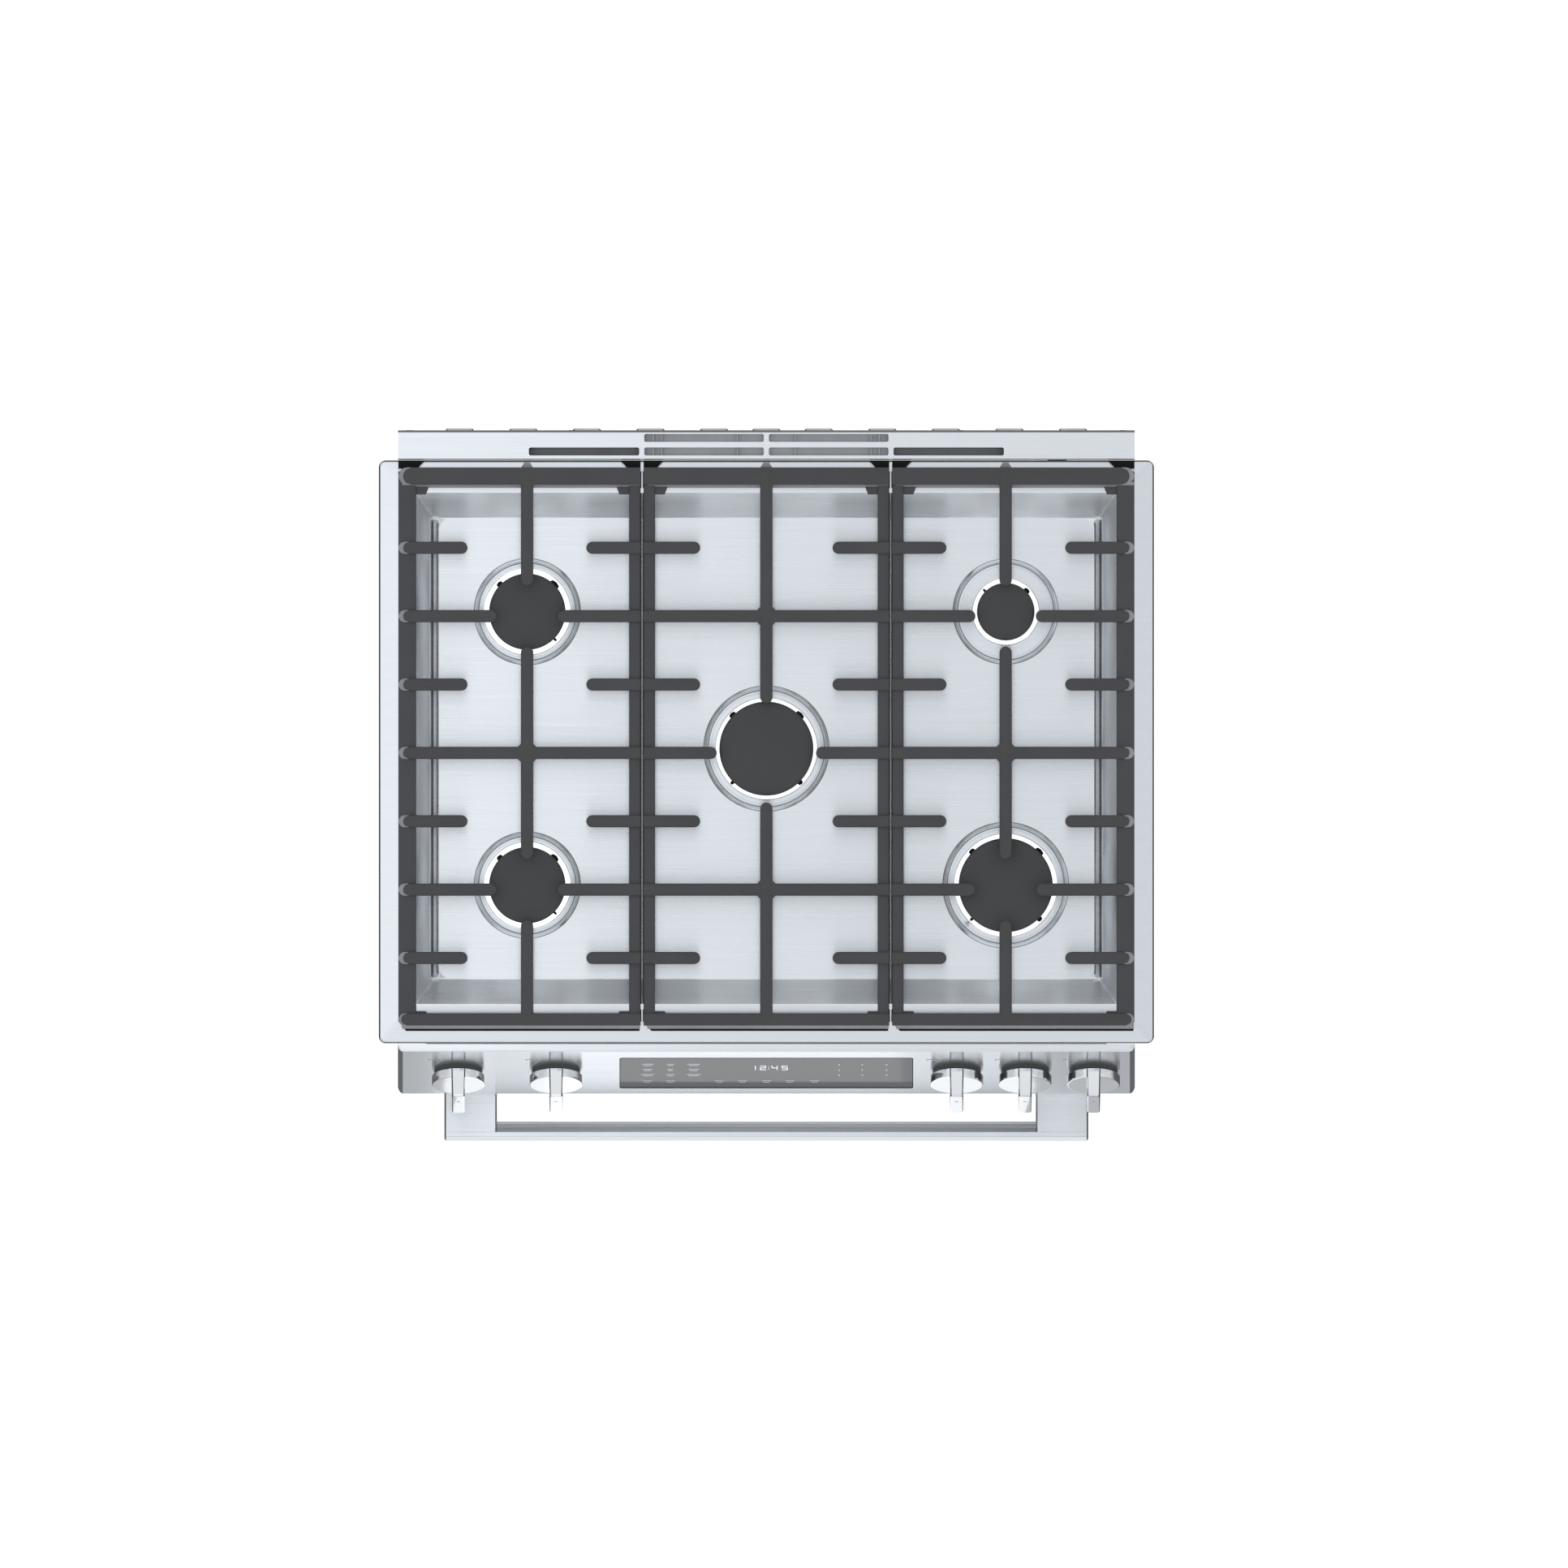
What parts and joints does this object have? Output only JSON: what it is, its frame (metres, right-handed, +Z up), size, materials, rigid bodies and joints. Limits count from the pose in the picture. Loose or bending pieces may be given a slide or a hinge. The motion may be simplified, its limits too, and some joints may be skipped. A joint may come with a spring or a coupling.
{
  "type": "freestanding gas range",
  "caption": "Slide-in gas range: pressed steel top with loose cast grates and burner caps, sloping panel with push-to-turn knobs, drop-down oven door and a storage drawer.",
  "frame": {"origin": "on the floor, under the centre of the outer box", "axes": "+Z up, the front with the door faces -Y, +X is to the right of someone facing the front"},
  "size_m": [0.8, 0.7354, 0.9271],
  "materials": {
    "brushed_stainless": "brushed along its width",
    "satin_chrome": "satin",
    "cast_iron": "matte black",
    "black_enamel": "matte porcelain enamel",
    "burner_aluminium": "as cast",
    "display_glass": "smoked, opaque",
    "door_glass": "tinted",
    "oven_enamel": "gloss porcelain enamel",
    "galvanised_sheet": "galvanised",
    "grey_paint": "satin",
    "black_plastic": "moulded",
    "brass": "machined",
    "zinc_steel": "zinc plated"
  },
  "bodies": {
    "chassis": {"base_frame": "galvanised_sheet", "side_panel_left": "grey_paint", "side_panel_right": "grey_paint", "rear_panel": "galvanised_sheet", "leveling_leg_front_left": "zinc_steel", "leveling_leg_front_right": "zinc_steel", "leveling_leg_rear_left": "zinc_steel", "leveling_leg_rear_right": "zinc_steel", "cooktop": "brushed_stainless", "vent_trim": "brushed_stainless", "control_panel": "brushed_stainless", "display_glass": "display_glass", "control_board_housing": "black_plastic", "gas_valve_1": "brass", "gas_valve_2": "brass", "gas_valve_3": "brass", "gas_valve_4": "brass", "gas_valve_5": "brass", "gas_manifold": "zinc_steel", "burner_head_left_rear": "burner_aluminium", "burner_head_left_front": "burner_aluminium", "burner_head_centre": "burner_aluminium", "burner_head_right_rear": "burner_aluminium", "burner_head_right_front": "burner_aluminium", "oven_liner": "oven_enamel", "oven_floor_panel": "oven_enamel", "bake_burner": "burner_aluminium", "broil_burner": "burner_aluminium", "fan_cover": "oven_enamel", "fan_motor": "galvanised_sheet", "door_hinge_left": "zinc_steel", "door_hinge_right": "zinc_steel"},
    "oven_door": {"door_outer_panel": "brushed_stainless", "door_outer_glass": "door_glass", "door_inner_panel": "oven_enamel", "door_inner_glass": "door_glass", "door_handle": "brushed_stainless"},
    "storage_drawer": {"drawer_front": "brushed_stainless", "drawer_box": "galvanised_sheet"},
    "rack_lower": {"oven_rack_lower": "satin_chrome"},
    "rack_upper": {"oven_rack_upper": "satin_chrome"},
    "oven_fan": {"convection_fan": "zinc_steel"},
    "grate_left": {"grate_left": "cast_iron"},
    "grate_centre": {"grate_centre": "cast_iron"},
    "grate_right": {"grate_right": "cast_iron"},
    "cap_left_rear": {"burner_cap_left_rear": "black_enamel"},
    "cap_left_front": {"burner_cap_left_front": "black_enamel"},
    "cap_centre": {"burner_cap_centre": "black_enamel"},
    "cap_right_rear": {"burner_cap_right_rear": "black_enamel"},
    "cap_right_front": {"burner_cap_right_front": "black_enamel"},
    "stem_1": {"valve_stem_1": "zinc_steel"},
    "knob_1": {"knob_1": "satin_chrome"},
    "stem_2": {"valve_stem_2": "zinc_steel"},
    "knob_2": {"knob_2": "satin_chrome"},
    "stem_3": {"valve_stem_3": "zinc_steel"},
    "knob_3": {"knob_3": "satin_chrome"},
    "stem_4": {"valve_stem_4": "zinc_steel"},
    "knob_4": {"knob_4": "satin_chrome"},
    "stem_5": {"valve_stem_5": "zinc_steel"},
    "knob_5": {"knob_5": "satin_chrome"}
  },
  "joints": [
    {"name": "door_hinge", "type": "hinge", "parent": "chassis", "child": "oven_door", "pos_m": [0, -0.2965, 0.268], "axis": [1, 0, 0], "range_deg": [0, 90], "stiffness_Nm_per_rad": 18, "springref_deg": -14.32},
    {"name": "drawer_slide", "type": "slide", "parent": "chassis", "child": "storage_drawer", "axis": [0, -1, 0], "range_m": [0, 0.38]},
    {"name": "rack_lower_slide", "type": "slide", "parent": "chassis", "child": "rack_lower", "axis": [0, -1, 0], "range_m": [0, 0.03]},
    {"name": "rack_upper_slide", "type": "slide", "parent": "chassis", "child": "rack_upper", "axis": [0, -1, 0], "range_m": [0, 0.03]},
    {"name": "fan_spin", "type": "hinge", "parent": "chassis", "child": "oven_fan", "pos_m": [0, 0.19, 0.525], "axis": [0, 1, 0], "continuous": true},
    {"name": "grate_left_lift", "type": "slide", "parent": "chassis", "child": "grate_left", "axis": [0, 0, 1], "range_m": [0, 0.12]},
    {"name": "grate_centre_lift", "type": "slide", "parent": "chassis", "child": "grate_centre", "axis": [0, 0, 1], "range_m": [0, 0.12]},
    {"name": "grate_right_lift", "type": "slide", "parent": "chassis", "child": "grate_right", "axis": [0, 0, 1], "range_m": [0, 0.12]},
    {"name": "cap_left_rear_lift", "type": "slide", "parent": "chassis", "child": "cap_left_rear", "axis": [0, 0, 1], "range_m": [0, 0.005]},
    {"name": "cap_left_front_lift", "type": "slide", "parent": "chassis", "child": "cap_left_front", "axis": [0, 0, 1], "range_m": [0, 0.005]},
    {"name": "cap_centre_lift", "type": "slide", "parent": "chassis", "child": "cap_centre", "axis": [0, 0, 1], "range_m": [0, 0.005]},
    {"name": "cap_right_rear_lift", "type": "slide", "parent": "chassis", "child": "cap_right_rear", "axis": [0, 0, 1], "range_m": [0, 0.005]},
    {"name": "cap_right_front_lift", "type": "slide", "parent": "chassis", "child": "cap_right_front", "axis": [0, 0, 1], "range_m": [0, 0.005]},
    {"name": "knob_1_turn", "type": "hinge", "parent": "chassis", "child": "stem_1", "pos_m": [-0.3178, -0.29581, 0.8515], "axis": [0, -0.9444, 0.3289], "range_deg": [0, 270]},
    {"name": "knob_1_push", "type": "slide", "parent": "stem_1", "child": "knob_1", "axis": [0, 0.9444, -0.3289], "range_m": [0, 0.0035], "stiffness_N_per_m": 800, "springref_m": -0.002},
    {"name": "knob_2_turn", "type": "hinge", "parent": "chassis", "child": "stem_2", "pos_m": [-0.217, -0.29581, 0.8515], "axis": [0, -0.9444, 0.3289], "range_deg": [0, 270]},
    {"name": "knob_2_push", "type": "slide", "parent": "stem_2", "child": "knob_2", "axis": [0, 0.9444, -0.3289], "range_m": [0, 0.0035], "stiffness_N_per_m": 800, "springref_m": -0.002},
    {"name": "knob_3_turn", "type": "hinge", "parent": "chassis", "child": "stem_3", "pos_m": [0.1964, -0.29581, 0.8515], "axis": [0, -0.9444, 0.3289], "range_deg": [0, 270]},
    {"name": "knob_3_push", "type": "slide", "parent": "stem_3", "child": "knob_3", "axis": [0, 0.9444, -0.3289], "range_m": [0, 0.0035], "stiffness_N_per_m": 800, "springref_m": -0.002},
    {"name": "knob_4_turn", "type": "hinge", "parent": "chassis", "child": "stem_4", "pos_m": [0.267, -0.29581, 0.8515], "axis": [0, -0.9444, 0.3289], "range_deg": [0, 270]},
    {"name": "knob_4_push", "type": "slide", "parent": "stem_4", "child": "knob_4", "axis": [0, 0.9444, -0.3289], "range_m": [0, 0.0035], "stiffness_N_per_m": 800, "springref_m": -0.002},
    {"name": "knob_5_turn", "type": "hinge", "parent": "chassis", "child": "stem_5", "pos_m": [0.3376, -0.29581, 0.8515], "axis": [0, -0.9444, 0.3289], "range_deg": [0, 270]},
    {"name": "knob_5_push", "type": "slide", "parent": "stem_5", "child": "knob_5", "axis": [0, 0.9444, -0.3289], "range_m": [0, 0.0035], "stiffness_N_per_m": 800, "springref_m": -0.002}
  ]
}
